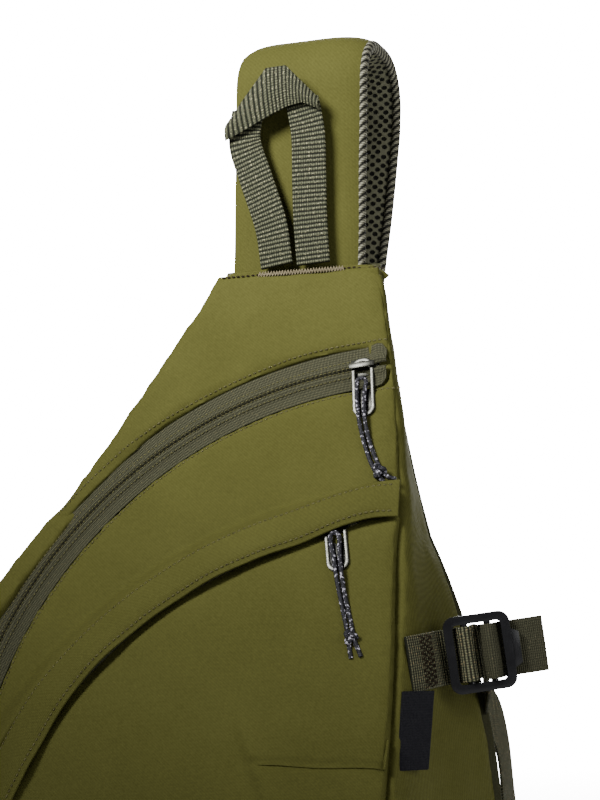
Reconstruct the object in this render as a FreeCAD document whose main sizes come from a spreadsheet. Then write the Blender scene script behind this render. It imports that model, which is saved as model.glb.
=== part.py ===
import FreeCAD, Part
import math
import os

# A teardrop sling bag, standing on its base.
# Row frame: millimetres, +Z up, the front faces -Y, and the origin is on the floor under the bag's middle.
# The front is a plane that leans back towards the top, and the pocket's front is a second plane that leans more.
# On both planes a place is given as (across, up the slope, out of the fabric's outer face).

V = FreeCAD.Vector
doc = FreeCAD.newDocument("sling_bag")

cells = {
    "frontFootY": (-65.0, "front face at the floor"),
    "frontLean": (15.69, "lean of the front face, degrees"),
    "pocketFootY": (-84.0, "pocket face at the floor"),
    "pocketLean": (18.55, "lean of the pocket face, degrees"),
    "backY": (50.0, "rear edge of the side walls"),
    "fabric": (1.6, "shell fabric with its lining"),
    "wall": (2.0, "side walls"),
    "liningThick": (1.0, "back panel lining"),
    "foamThick": (6.0, "back panel foam"),
    "airMesh": (3.0, "spacer mesh"),
    "zipX": (92.0, "centre of the main zip's arc"),
    "zipUp": (115.0, "centre of the main zip's arc"),
    "zipRadius": (212.0, "main zip's arc"),
    "zipStart": (97.0, "angle of the closed slider"),
    "zipFirst": (95.5, "slot's first end"),
    "zipLast": (195.5, "slot's last end"),
    "zipOpenHalf": (8.0, "half of the slot in the fabric"),
    "flapX": (100.0, "centre of the flap's arcs"),
    "flapUp": (55.0, "centre of the flap's arcs"),
    "flapEdge": (198.0, "free edge of the flap"),
    "flapSeam": (210.9, "seam of the flap"),
    "flapLift": (3.8, "gap between pocket face and flap"),
    "flapThick": (1.2, "flap fabric"),
    "pocketTop": (196.0, "upper edge of the pocket panel"),
    "pocketZip": (203.0, "pocket zip's arc"),
    "pocketStart": (101.0, "angle of the closed pocket slider"),
    "pocketFirst": (98.5, "pocket zip's first end"),
    "pocketLast": (184.0, "pocket zip's last end"),
    "tapeThick": (0.6, "zip tape"),
    "tapeWidth": (9.3, "one side of the main zip's tape"),
    "pocketTapeWidth": (5.6, "one side of the pocket zip's tape"),
    "tapeGap": (0.7, "from the zip's middle to each tape"),
    "tapeDepth": (2.1, "middle of the tape under the outer face"),
    "coilThick": (1.6, "coil"),
    "coilWidth": (2.2, "one side of the coil"),
    "sliderLong": (12.0, "slider along the zip"),
    "sliderWide": (8.6, "slider across the zip"),
    "stemRadius": (1.4, "post that holds the puller"),
    "capLong": (12.0, "bar over the puller"),
    "capWide": (2.6, "bar over the puller"),
    "pullerLong": (29.0, "puller"),
    "pullerWide": (10.6, "puller"),
    "pullerRim": (1.6, "rim of the puller"),
    "pullerThick": (1.4, "puller"),
    "plateThick": (0.8, "plate in the puller"),
    "cordThick": (2.0, "pull cord"),
    "strapWide": (62.0, "padded strap"),
    "strapX": (28.0, "middle of the padded strap"),
    "strapCover": (2.0, "strap's outer fabric"),
    "strapFoam": (6.0, "strap's foam"),
    "strapEnd": (112.0, "lower end of the padded strap"),
    "hingeUp": (372.0, "where the strap starts above the top seam"),
    "webWide": (25.0, "adjusting webbing"),
    "webThick": (1.4, "adjusting webbing"),
    "handleY": (36.5, "rear face of the grab handle"),
    "handleThick": (1.5, "grab handle webbing"),
    "lockWide": (35.0, "ladder lock across the webbing"),
    "lockThick": (3.5, "ladder lock"),
    "barRadius": (1.6, "ladder lock bars"),
    "lockRoll": (8.5, "roll of the ladder lock, degrees"),
    "lockTurn": (20.0, "turn of the ladder lock out of the front, degrees"),
    "labelLong": (35.0, "side label"),
    "labelWide": (12.5, "side label"),
    "labelThick": (0.8, "side label"),
}

sheet = doc.addObject("Spreadsheet::Sheet", "dims")
for row, (alias, (value, note)) in enumerate(cells.items(), 1):
    sheet.set(f"A{row}", alias)
    sheet.set(f"B{row}", str(value))
    sheet.set(f"C{row}", note)
    sheet.setAlias(f"B{row}", alias)
doc.recompute()


def val(alias):
    return float(sheet.get(alias))


def turned(axis, degrees):
    return FreeCAD.Rotation(axis, degrees)


acrossAxis, backAxis, upAxis = V(1, 0, 0), V(0, 1, 0), V(0, 0, 1)
frontPlace = FreeCAD.Placement(V(0, val("frontFootY"), 0), turned(acrossAxis, 90 - val("frontLean")))
pocketPlace = FreeCAD.Placement(V(0, val("pocketFootY"), 0), turned(acrossAxis, 90 - val("pocketLean")))


def backPlace(y):
    return FreeCAD.Placement(V(0, y, 0), turned(acrossAxis, 90))


# Outlines: corner, point on the arc, corner, point on the arc and so on, back to the first corner.
frontOutline = [
    (-13, 379), (28, 380), (70, 379), (82, 325), (91, 250), (97, 175), (97, 60),
    (89, 17), (60, 0.45), (-15, 0.45), (-90, 0.45), (-122, 16), (-135, 57), (-140, 122), (-130, 190), (-71, 279),
]
backOutline = [
    (-13, 366), (27, 367), (66, 366), (75, 303), (91, 235), (116, 165), (127, 75),
    (115, 23), (80, 0), (-5, 0), (-85, 0), (-116, 17), (-128, 58), (-131, 120), (-121, 185), (-64, 272),
]


# The pocket's outline stands a little above the floor, because its walls slope down towards the main panel.
pocketRise, riseUpTo = 6.0, 60.0
pocketOutline = [(x, y + pocketRise * max(0.0, 1 - y / riseUpTo)) for x, y in frontOutline]


def curve(a, b, c):
    """One edge from a to c through b: an arc, or a line if the three are in line."""
    a, b, c = V(a[0], a[1], 0), V(b[0], b[1], 0), V(c[0], c[1], 0)
    if (b - a).cross(c - b).Length < 1e-6 * (b - a).Length * (c - b).Length:
        return Part.LineSegment(a, c)
    return Part.ArcOfCircle(a, b, c)


def chain(points):
    return [curve(*points[i:i + 3]) for i in range(0, len(points) - 2, 2)]


def inset(points, distance):
    """The closed outline again, moved inwards (it runs clockwise) by a distance."""
    moved, count = [], len(points)
    for i, (x, y) in enumerate(points):
        ahead, behind = points[(i + 1) % count], points[i - 1]
        along = V(ahead[0] - behind[0], ahead[1] - behind[1], 0).normalize()
        moved.append((x + along.y * distance, y - along.x * distance))
    return moved


def closed(points):
    return chain(points + points[:1])


def polygon(corners):
    corners = [V(x, y, 0) for x, y in corners]
    return [Part.LineSegment(a, b) for a, b in zip(corners, corners[1:] + corners[:1])]


def sector(centre, inner, outer, first, last):
    """The edges of a ring sector; angles in degrees, anticlockwise from +X."""
    def at(radius, angle):
        turn = math.radians(angle)
        return (centre[0] + radius * math.cos(turn), centre[1] + radius * math.sin(turn))
    middle = (first + last) / 2
    return [
        curve(at(outer, first), at(outer, middle), at(outer, last)),
        curve(at(outer, last), at((inner + outer) / 2, last), at(inner, last)),
        curve(at(inner, last), at(inner, middle), at(inner, first)),
        curve(at(inner, first), at((inner + outer) / 2, first), at(outer, first)),
    ]


def slotEdges(centre, radius, half, first, last):
    """A ring sector with round ends."""
    def at(distance, angle, along=0.0):
        turn = math.radians(angle)
        return (centre[0] + distance * math.cos(turn) - along * math.sin(turn),
                centre[1] + distance * math.sin(turn) + along * math.cos(turn))
    middle = (first + last) / 2
    return [
        curve(at(radius + half, first), at(radius + half, middle), at(radius + half, last)),
        curve(at(radius + half, last), at(radius, last, half), at(radius - half, last)),
        curve(at(radius - half, last), at(radius - half, middle), at(radius - half, first)),
        curve(at(radius - half, first), at(radius, first, -half), at(radius + half, first)),
    ]


def sketchAt(owner, name, edges, plane="XY_Plane", place=None):
    """A sketch in a body, on one of its origin planes, or in the document."""
    if owner is doc:
        sketch = doc.addObject("Sketcher::SketchObject", name)
        sketch.Placement = place or FreeCAD.Placement()
    else:
        sketch = owner.newObject("Sketcher::SketchObject", name)
        origin = next(f for f in owner.Origin.OriginFeatures if f.Role == plane)
        sketch.AttachmentSupport = [(origin, "")]
        sketch.MapMode = "FlatFace"
    sketch.addGeometry(edges, False)
    return sketch


def newBody(name, place):
    body = doc.addObject("PartDesign::Body", name)
    body.Label = name
    body.Placement = place
    return body


def addPad(body, edges, length, plane="XY_Plane", middle=False, away=False):
    """A pad on one of the body's origin planes; length is an expression."""
    sketch = sketchAt(body, body.Name + "_sketch", edges, plane)
    pad = body.newObject("PartDesign::Pad", body.Name + "_pad")
    pad.Profile = sketch
    pad.Midplane = middle
    pad.Reversed = away
    pad.setExpression("Length", length)
    body.Tip = pad
    return pad


def padPiece(name, edges, length, place, plane="XY_Plane", middle=False, away=False):
    body = newBody(name, place)
    addPad(body, edges, length, plane, middle, away)
    return body


def extrusion(name, edges, length, start=0.0):
    """A prism for a boolean, from a sketch at a height on its plane."""
    prism = doc.addObject("Part::Extrusion", name)
    prism.Base = sketchAt(doc, name + "_sketch", edges, place=FreeCAD.Placement(V(0, 0, start), FreeCAD.Rotation()))
    prism.DirMode = "Custom"
    prism.Dir = V(0, 0, 1)
    prism.Solid = True
    prism.setExpression("LengthFwd", length)
    return prism


def disc(name, centre, radius, height, start):
    cylinder = doc.addObject("Part::Cylinder", name)
    cylinder.setExpression("Radius", radius)
    cylinder.Height = height
    cylinder.Placement = FreeCAD.Placement(V(centre[0], centre[1], start), FreeCAD.Rotation())
    return cylinder


def cut(name, base, tool):
    result = doc.addObject("Part::Cut", name)
    result.Base, result.Tool = base, tool
    return result


def common(name, base, tool):
    result = doc.addObject("Part::Common", name)
    result.Base, result.Tool = base, tool
    return result


def finished(piece, name, place):
    piece.Label = name
    piece.Placement = place
    return piece


def feature(name, shape, place=None):
    piece = doc.addObject("Part::Feature", name)
    piece.Label = name
    piece.Shape = shape
    piece.Placement = place or FreeCAD.Placement()
    return piece


zipCentre = (val("zipX"), val("zipUp"))
flapCentre = (val("flapX"), val("flapUp"))
deep = 60.0


def makeFrontPanels():
    """The panel above the main zip and the panel below it, cut from one plate along the zip."""
    fabric = val("fabric")
    plate = extrusion("front_plate", closed(frontOutline), "dims.fabric", -fabric)
    inner = disc("zip_disc", zipCentre, "dims.zipRadius", deep, -deep / 2)
    slot = extrusion("zip_slot", slotEdges(zipCentre, val("zipRadius"), val("zipOpenHalf"),
                                           val("zipFirst"), val("zipLast")), "dims.fabric * 3", -2 * fabric)
    above = cut("above_zip", plate, inner)
    below = common("below_zip", plate, inner)
    finished(cut("upper_front", above, slot), "upper_front_panel", frontPlace)
    finished(cut("main_front", below, slot), "main_front_panel", frontPlace)


def behindFront(name):
    """Everything behind the front panels' outer face, as the pocket's plane sees it."""
    box = doc.addObject("Part::Box", name)
    box.Length, box.Width, box.Height = 500, 600, 100
    local = FreeCAD.Placement(V(-250, -100, -100), FreeCAD.Rotation())
    box.Placement = pocketPlace.inverse().multiply(frontPlace).multiply(local)
    return box


def makePocket():
    """A tray that stands on the main panel, open at the top under the flap."""
    fabric = val("fabric")
    block = extrusion("pocket_block", closed(pocketOutline), "40", -40)
    under = disc("pocket_disc", flapCentre, "dims.pocketTop", 2 * deep, -deep)
    hollow = extrusion("pocket_hollow", closed(inset(pocketOutline, fabric)), "40", -40 - fabric)
    outer = cut("pocket_outer", common("pocket_common", block, under), behindFront("pocket_back"))
    finished(cut("pocket_shell", outer, hollow), "front_pocket_panel", pocketPlace)


def makeFlap():
    """A curved flap over the pocket's zip, and the pocket's top wall, which joins it to the main panel."""
    fabric, seam, edge, lift = val("flapThick"), val("flapSeam"), val("flapEdge"), val("flapLift")
    first, last = 94.6, 190.0
    wall = extrusion("wall_length", sector(flapCentre, seam - fabric, seam, first, last), "40 + dims.flapLift", -40)
    finished(cut("wall_foot", wall, behindFront("wall_back")), "pocket_top_wall", pocketPlace)
    top = extrusion("flap_top", sector(flapCentre, edge, seam, first, last), "dims.flapThick", lift)
    finished(top, "storm_flap", pocketPlace)


def band(outline, first, last, thick):
    """The edges of a strip along part of an outline, with its inner side."""
    count = last - first + 1
    outer = [outline[(first + i) % len(outline)] for i in range(count)]
    moved = inset(outline, thick)
    inner = [moved[(first + i) % len(outline)] for i in range(count)][::-1]
    ends = [[outer[-1], tuple((a + b) / 2 for a, b in zip(outer[-1], inner[0])), inner[0]],
            [inner[-1], tuple((a + b) / 2 for a, b in zip(inner[-1], outer[0])), outer[0]]]
    return chain(outer) + chain(ends[0]) + chain(inner) + chain(ends[1])


def makeWalls():
    """The walls between the front and the back, lofted from the front's outline to the back's."""
    spans = {"top_panel": (0, 2), "right_gusset": (2, 8), "bottom_panel": (8, 10), "left_gusset": (10, 16)}
    behind = FreeCAD.Placement(V(0, 0, -val("fabric")), FreeCAD.Rotation())
    for name, (first, last) in spans.items():
        flat = name == "bottom_panel"
        loft = doc.addObject("Part::Loft", name + "_loft" if flat else name)
        lowered = 0.03 if flat else 0.0
        outlines = [[(x, up - lowered) for x, up in outline] for outline in (frontOutline, backOutline)]
        loft.Sections = [
            sketchAt(doc, name + "_front", band(outlines[0], first, last, val("wall")), place=frontPlace.multiply(behind)),
            sketchAt(doc, name + "_rear", band(outlines[1], first, last, val("wall")), place=backPlace(val("backY"))),
        ]
        loft.Solid = True
        loft.Ruled = True
        if flat:
            finished(cut(name, loft, floorBox()), name, FreeCAD.Placement())
        else:
            loft.Label = name


def floorBox():
    """All that lies below the floor, which trims the base flat."""
    box = doc.addObject("Part::Box", "below_floor")
    box.Length, box.Width, box.Height = 400, 400, 20
    box.Placement.Base = V(-200, -200, -20)
    return box


def makeBack():
    """Lining, foam and spacer mesh, one behind the other."""
    y = val("backY")
    for name, thick in (("back_lining", "liningThick"), ("back_foam", "foamThick"), ("back_mesh", "airMesh")):
        y += val(thick)
        padPiece(name, closed(backOutline), f"dims.{thick}", backPlace(y))


def makeZip(prefix, centre, radius, tape, first, last, place):
    """Two tapes, the two sides of the coil under them, and the stops at both ends."""
    gap, depth, thick, coil = val("tapeGap"), val("tapeDepth"), val("tapeThick"), val("coilThick")
    sides = {"upper": (radius + gap, radius + gap + tape, radius + gap + val("coilWidth")),
             "lower": (radius - gap - tape, radius - gap, radius - gap - val("coilWidth"))}
    tapePlace = place.multiply(FreeCAD.Placement(V(0, 0, -depth - thick / 2), FreeCAD.Rotation()))
    coilPlace = place.multiply(FreeCAD.Placement(V(0, 0, -depth - thick / 2 - coil), FreeCAD.Rotation()))
    for side, (low, high, coilEdge) in sides.items():
        padPiece(f"{prefix}_{side}_tape", sector(centre, low, high, first - 0.8, last + 0.8), "dims.tapeThick", tapePlace)
        near = radius + gap if side == "upper" else radius - gap
        padPiece(f"{prefix}_{side}_coil", sector(centre, min(near, coilEdge), max(near, coilEdge), first, last),
                 "dims.coilThick", coilPlace)
    stops = doc.addObject("Part::MultiFuse", f"{prefix}_stops")
    blocks = []
    for number, angle in enumerate((first - 0.35, last - 0.3)):
        block = doc.addObject("Part::Box", f"{prefix}_stop_{number}")
        block.Length, block.Width, block.Height = 1.0, 6.0, 1.2
        start = FreeCAD.Placement(V(-0.5, -3.0, -depth + thick / 2), FreeCAD.Rotation())
        block.Placement = onArc(centre, radius, angle).multiply(start)
        blocks.append(block)
    stops.Shapes = blocks
    finished(stops, f"{prefix}_stops", place)


def onArc(centre, radius, angle):
    """The frame of a slider on its arc: X along the zip, Y away from the arc's centre."""
    turn = math.radians(angle)
    spot = V(centre[0] + radius * math.cos(turn), centre[1] + radius * math.sin(turn), 0)
    return FreeCAD.Placement(spot, turned(upAxis, angle - 90))


def makeSlider(name, place):
    """Two plates joined by a thin keel between the tapes, with a T-shaped post for the puller."""
    half, keel = val("sliderWide") / 2, 0.35
    section = [(-half, -3.1), (half, -3.1), (half, -2.2), (keel, -2.2), (keel, 0.6), (half, 0.6),
               (half, 1.6), (-half, 1.6), (-half, 0.6), (-keel, 0.6), (-keel, -2.2), (-half, -2.2)]
    body = newBody(name, place)
    addPad(body, polygon(section), "dims.sliderLong", "YZ_Plane", middle=True)
    stem = val("stemRadius")
    addPad(body, polygon([(-stem, 1.5), (stem, 1.5), (stem, 4.7), (-stem, 4.7)]), "dims.stemRadius * 2",
           "YZ_Plane", middle=True)
    wide = val("capWide") / 2
    addPad(body, polygon([(-wide, 4.6), (wide, 4.6), (wide, 5.5), (-wide, 5.5)]), "dims.capLong",
           "YZ_Plane", middle=True)
    return body


def makePuller(name, place):
    """A long flat loop round the slider's post, with a plate in its lower part."""
    long, half, rim = val("pullerLong"), val("pullerWide") / 2, val("pullerRim")
    top = val("stemRadius") + 0.7 + rim
    bottom = top - long

    def loop(inwards):
        side, high, low = half - inwards, top - inwards, bottom + inwards
        ends = half - 1.5
        return chain([(-side, low + ends), (-side, 0), (-side, high - ends), (-side * 0.7, high - ends * 0.3),
                      (0, high), (side * 0.7, high - ends * 0.3), (side, high - ends), (side, 0),
                      (side, low + ends), (side * 0.7, low + ends * 0.3), (0, low), (-side * 0.7, low + ends * 0.3),
                      (-side, low + ends)])
    body = newBody(name, place)
    addPad(body, loop(0) + loop(rim), "dims.pullerThick", middle=True)
    side = half - rim / 2
    addPad(body, polygon([(-side, -12), (side, -12), (side, bottom + half), (side - 3, bottom + rim / 2),
                          (-side + 3, bottom + rim / 2), (-side, bottom + half)]), "dims.plateThick", middle=True)
    return body


def roundedPath(points, radii):
    """A wire of straight runs joined by tangent arcs."""
    edges, start = [], points[0]
    for before, corner, after, radius in zip(points, points[1:], points[2:], radii):
        inwards, outwards = (before - corner).normalize(), (after - corner).normalize()
        turn = math.pi - inwards.getAngle(outwards)
        reach = radius * math.tan(turn / 2)
        first, last = corner + inwards * reach, corner + outwards * reach
        centre = corner + (inwards + outwards).normalize() * (radius / math.cos(turn / 2))
        middle = centre + (corner - centre).normalize() * radius
        edges.append(Part.LineSegment(start, first).toShape())
        edges.append(Part.Arc(first, middle, last).toShape())
        start = last
    edges.append(Part.LineSegment(start, points[-1]).toShape())
    return Part.Wire(edges)


def largestRadii(points):
    """Each arc as large as its two runs allow."""
    radii = []
    for before, corner, after in zip(points, points[1:], points[2:]):
        a, b = corner - before, after - corner
        radii.append(0.45 * min(a.Length, b.Length) / math.tan(a.getAngle(b) / 2))
    return radii


def makeCord(name, route):
    """A tube along the cord's route."""
    points = [V(*p) for p in route]
    radii = largestRadii(points)
    path = roundedPath(points, radii)
    ring = Part.Wire(Part.Circle(points[0], points[1] - points[0], val("cordThick") / 2).toShape())
    tube = path.makePipeShell([ring], True, False)
    expected = math.pi * (val("cordThick") / 2) ** 2 * path.Length
    print(name, "length", round(path.Length, 1), "radii", [round(r, 1) for r in radii],
          "volume share", round(tube.Volume / expected, 3))
    return feature(name, tube)


def makeKnot(name, centre, radii):
    knot = doc.addObject("Part::Ellipsoid", name)
    knot.Radius1, knot.Radius2, knot.Radius3 = radii
    knot.Placement = FreeCAD.Placement(V(*centre), FreeCAD.Rotation())
    knot.Label = name
    return knot


def bandEdges(points, radii, low, high):
    """The outline of a band that follows a path, between two offsets to the path's left."""
    def side(offset):
        placed, start = [], V(*points[0], 0)
        out = V(*points[1], 0) - start
        placed.append(start + V(-out.y, out.x, 0).normalize() * offset)
        pieces = []
        for before, corner, after, radius in zip(points, points[1:], points[2:], radii):
            before, corner, after = V(*before, 0), V(*corner, 0), V(*after, 0)
            a, b = (corner - before).normalize(), (after - corner).normalize()
            turn = a.getAngle(b)
            left = 1 if a.cross(b).z > 0 else -1
            reach = radius * math.tan(turn / 2)
            centre = corner - a * reach + V(-a.y, a.x, 0) * left * radius
            size = radius - left * offset
            first = centre - V(-a.y, a.x, 0) * left * size
            last = centre - V(-b.y, b.x, 0) * left * size
            middle = centre + (first - centre + last - centre).normalize() * size
            pieces.append((first, middle, last))
        final, before = V(*points[-1], 0), V(*points[-2], 0)
        along = (final - before).normalize()
        return placed[0], pieces, final + V(-along.y, along.x, 0) * offset

    def edges(start, pieces, end):
        result = []
        for first, middle, last in pieces:
            result.append(Part.LineSegment(start, first))
            result.append(Part.ArcOfCircle(first, middle, last))
            start = last
        return result + [Part.LineSegment(start, end)]

    lowSide, highSide = side(low), side(high)
    joins = [Part.LineSegment(lowSide[2], highSide[2]), Part.LineSegment(highSide[0], lowSide[0])]
    return edges(*lowSide) + edges(*highSide) + joins


def taperEnd(body, half, end):
    """Narrows the strap's lower end to the webbing."""
    narrow = val("webWide") / 2 + 3
    corners = [(half + 1, end + 75), (half + 1, end - 1), (narrow, end - 1), (narrow, end + 12)]
    sides = polygon(corners) + polygon([(-x, z) for x, z in corners])
    pocket = body.newObject("PartDesign::Pocket", body.Name + "_narrowing")
    pocket.Profile = sketchAt(body, body.Name + "_taper", sides, "XZ_Plane")
    pocket.Type = "ThroughAll"
    pocket.Midplane = True
    body.Tip = pocket


def makeStrap():
    """Mesh, foam and cover: a run up from the top seam, a bend over backwards, and a run down behind the bag."""
    end, up, half = val("strapEnd"), val("hingeUp"), val("strapWide") / 2
    bendFront, bendRear, bendRadius = V(50, 471), V(100, 471), 22.0
    foot, knee = V(46, up), V(66.5, 330)

    def tangent(corner, before, after):
        turn = (corner - before).getAngle(after - corner)
        return corner + (before - corner).normalize() * bendRadius * math.tan(turn / 2)
    rise, fall = tangent(bendFront, foot, bendRear), tangent(bendRear, knee, bendFront)
    runs = {"front": ([foot, rise], []),
            "bend": ([rise, bendFront, bendRear, fall], [bendRadius - 0.1] * 2),
            "rear": ([fall, knee, V(knee.x, end)], [90.0])}
    thick = val("strapCover") + val("strapFoam") + val("airMesh")
    layers = {"mesh": (-thick / 2, val("airMesh") - thick / 2),
              "foam": (val("airMesh") - thick / 2, thick / 2 - val("strapCover")),
              "cover": (thick / 2 - val("strapCover"), thick / 2)}
    place = FreeCAD.Placement(V(val("strapX"), 0, 0), FreeCAD.Rotation())
    for run, (path, radii) in runs.items():
        for layer, (low, high) in layers.items():
            edges = bandEdges([(p.x, p.y) for p in path], radii, low, high)
            body = padPiece(f"strap_{run}_{layer}", edges, "dims.strapWide", place, "YZ_Plane", middle=True)
            if run == "rear":
                taperEnd(body, half, end)


def makeHandle():
    """A loop of narrow webbing, folded flat at its top, in front of the strap."""
    outside = [(13, 367), (-5, 431), (16, 460), (26, 460), (45, 441), (47, 367)]
    inside = [(28.5, 376), (15, 424), (19, 440), (28, 438), (29.5, 376)]
    place = FreeCAD.Placement(V(0, val("handleY"), 0), turned(acrossAxis, 90))
    padPiece("grab_handle", polygon(outside) + polygon(inside), "dims.handleThick", place)


# The ladder lock's frame: X along the webbing, Y across it, Z towards the front; origin on its first bar.
lockPlace = FreeCAD.Placement(V(112.3, 8.9, 179.5), FreeCAD.Rotation())
facing = turned(upAxis, val("lockTurn")).multiply(turned(acrossAxis, 90))
lockPlace.Rotation = facing.multiply(turned(upAxis, val("lockRoll")))
stubBar, webBar, lastBar = 7.5, 18.0, 26.0


def makeLock():
    """A moulded frame with two bars in its window and a release tab."""
    half, rail = val("lockWide") / 2, 4.0

    def rounded(left, right, low, high, r):
        k = r * 0.293
        return chain([(left, low + r), (left, (low + high) / 2), (left, high - r), (left + k, high - k),
                      (left + r, high), ((left + right) / 2, high), (right - r, high), (right - k, high - k),
                      (right, high - r), (right, (low + high) / 2), (right, low + r), (right - k, low + k),
                      (right - r, low), ((left + right) / 2, low), (left + r, low), (left + k, low + k),
                      (left, low + r)])
    body = newBody("ladder_lock", lockPlace)
    addPad(body, rounded(-2, lastBar + 2, -half, half, 5) + rounded(2, lastBar - 2, rail - half, half - rail, 2),
           "dims.lockThick", middle=True)
    for place in (stubBar, webBar):
        ring = [Part.Circle(V(place, 0, 0), V(0, 0, 1), val("barRadius"))]
        addPad(body, ring, "dims.lockWide - 4", "XZ_Plane", middle=True)
    addPad(body, polygon([(lastBar + 1, -9.5), (lastBar + 5.5, -7), (lastBar + 5.5, 7), (lastBar + 1, 9.5)]),
           "dims.lockThick * 0.6", middle=True)


def ringAndStrips(name, bar, strips):
    """Webbing folded round a bar, with the strips that leave it; seen along the bar."""
    inner, outer = val("barRadius") + 0.35, val("barRadius") + 0.35 + val("webThick")
    body = newBody(name, lockPlace)
    for points, radii, thick in strips:
        addPad(body, bandEdges(points, radii, -thick / 2, thick / 2), "dims.webWide", "XZ_Plane", middle=True)
    centre = V(bar, 0, 0)
    addPad(body, [Part.Circle(centre, V(0, 0, 1), outer)], "dims.webWide", "XZ_Plane", middle=True)
    hole = body.newObject("PartDesign::Pocket", name + "_hole")
    hole.Profile = sketchAt(body, name + "_ring", [Part.Circle(centre, V(0, 0, 1), inner)], "XZ_Plane")
    hole.Type = "ThroughAll"
    hole.Midplane = True
    body.Tip = hole
    return body


def makeBuckleWebbing():
    """The stub from the side seam round the first inner bar, and the tail round the second."""
    under = -val("lockThick") / 2 - 0.35
    double, single = 2 * val("webThick"), val("webThick")
    stubLine = under - double / 2
    ringAndStrips("side_stub", stubBar,
                  [([(-20.4, 18.6), (-6.0, stubLine), (stubBar, stubLine)], [5], double)])
    tailLine = under - single / 2
    ringAndStrips("webbing_tail", webBar,
                  [([(webBar, tailLine), (38, tailLine), (47.5, tailLine - 1)], [20], single)])


def makeWebbing():
    """The adjusting webbing: from under the lock down the right edge, round a slack loop and up to the strap."""
    across = lockPlace.Rotation.multVec(V(0, 1, 0))
    under = -val("lockThick") / 2 - 0.35 - 1.6 * val("webThick") - 0.6
    starts = [lockPlace.multVec(V(along, 0, under)) for along in (webBar - 2, lastBar + 3)]
    slackTurn = V(0, 0.75, 0.66)
    stations = [(starts[0], across, V(1, 0.36, 0.16)), (starts[1], across, V(1, 0.36, 0.1)),
                (V(138, 42, 170), slackTurn, V(0.3, 0.75, -0.6)),
                (V(127.5, 73, 143), backAxis, V(-0.1, 0, -1)), (V(130, 76, 105), backAxis, V(0, 0, -1)),
                (V(127, 76, 62), backAxis, V(-0.15, 0, -1)), (V(112, 76, 27), backAxis, V(-0.7, 0, -0.7)),
                (V(77, 76, 13), backAxis, V(-1, 0, 0)), (V(44, 74, 27), backAxis, V(-0.7, 0, 0.7)),
                (V(29, 70, 62), V(0.7, 0.7, 0), V(-0.1, 0, 1)), (V(28, 66.5, 111.4), acrossAxis, V(0, 0, 1))]
    sections = []
    for centre, width, along in stations:
        width = V(width).normalize() * (val("webWide") / 2)
        thick = V(along).cross(width).normalize() * (val("webThick") / 2)
        corners = [centre + width + thick, centre - width + thick, centre - width - thick, centre + width - thick]
        sections.append(Part.makePolygon(corners + corners[:1]))
    feature("strap_webbing", Part.makeLoft(sections, True, True))


def makeLabel():
    """A blank folded tab in the side seam."""
    label = doc.addObject("Part::Box", "side_label")
    label.setExpression("Length", "dims.labelWide")
    label.setExpression("Width", "dims.labelLong")
    label.setExpression("Height", "dims.labelThick")
    finished(label, "side_label", frontPlace.multiply(FreeCAD.Placement(V(99.2, 137, -0.8), turned(backAxis, val("lockTurn")))))


# Each cord is doubled: from one cut end through the knot, up through the puller, and back.
mainCordRoute = [
    (87.0, 6.4, 259.9), (84.0, 6.4, 260.3), (80.2, 6.8, 263.6), (76.3, 9.0, 269.5), (72.8, 11.2, 277.8),
    (70.3, 12.2, 286.8), (69.0, 14.6, 295.5), (69.0, 16.7, 302.5), (69.2, 18.1, 306.6), (66.9, 18.6, 308.1),
    (64.6, 18.1, 306.7), (64.9, 16.7, 302.7), (65.9, 14.4, 295.0), (67.6, 12.2, 286.8), (70.2, 11.0, 277.3),
    (73.8, 8.8, 268.6), (78.0, 6.3, 262.0), (80.8, 6.2, 259.3), (82.8, 5.7, 257.2),
]
pocketCordRoute = [
    (80.8, -25.1, 180.1), (78.6, -24.0, 184.0), (76.6, -22.9, 188.9), (74.0, -19.8, 196.3), (70.9, -17.0, 205.4),
    (68.4, -15.1, 215.3), (66.3, -12.0, 224.8), (65.6, -9.8, 230.8), (64.8, -8.3, 234.8), (62.5, -8.0, 235.7),
    (60.5, -8.5, 234.0), (61.6, -10.0, 230.0), (63.7, -12.2, 224.3), (65.8, -15.1, 215.3), (68.4, -16.8, 205.8),
    (71.4, -19.7, 196.6), (74.2, -23.1, 188.4), (75.0, -24.0, 183.8), (76.2, -25.4, 179.3),
]
mainKnot, pocketKnot = (79.2, 5.8, 263.7), (75.4, -23.9, 188.7)


def makeZips():
    slope = {"main_zip": (zipCentre, val("zipRadius"), val("tapeWidth"), val("zipFirst"), val("zipLast"),
                          frontPlace, val("zipStart"), mainCordRoute, mainKnot),
             "pocket_zip": (flapCentre, val("pocketZip"), val("pocketTapeWidth"), val("pocketFirst"),
                            val("pocketLast"), pocketPlace, val("pocketStart"), pocketCordRoute, pocketKnot)}
    for prefix, (centre, radius, tape, first, last, place, start, route, knot) in slope.items():
        makeZip(prefix, centre, radius, tape, first, last, place)
        down = -val("tapeDepth")
        spot = place.multiply(onArc(centre, radius, start))
        makeSlider(f"{prefix}_slider", spot.multiply(FreeCAD.Placement(V(0, 0, down), FreeCAD.Rotation())))
        makePuller(f"{prefix}_puller", spot.multiply(FreeCAD.Placement(V(0, 0, down + 3.3), FreeCAD.Rotation())))
        makeCord(f"{prefix}_cord", route)
        makeKnot(f"{prefix}_knot", knot, (4.2, 3.4, 2.7))


makeFrontPanels()
makePocket()
makeFlap()
makeWalls()
makeBack()
makeZips()
makeStrap()
makeHandle()
makeLock()
makeBuckleWebbing()
makeWebbing()
makeLabel()
doc.recompute()

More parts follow.
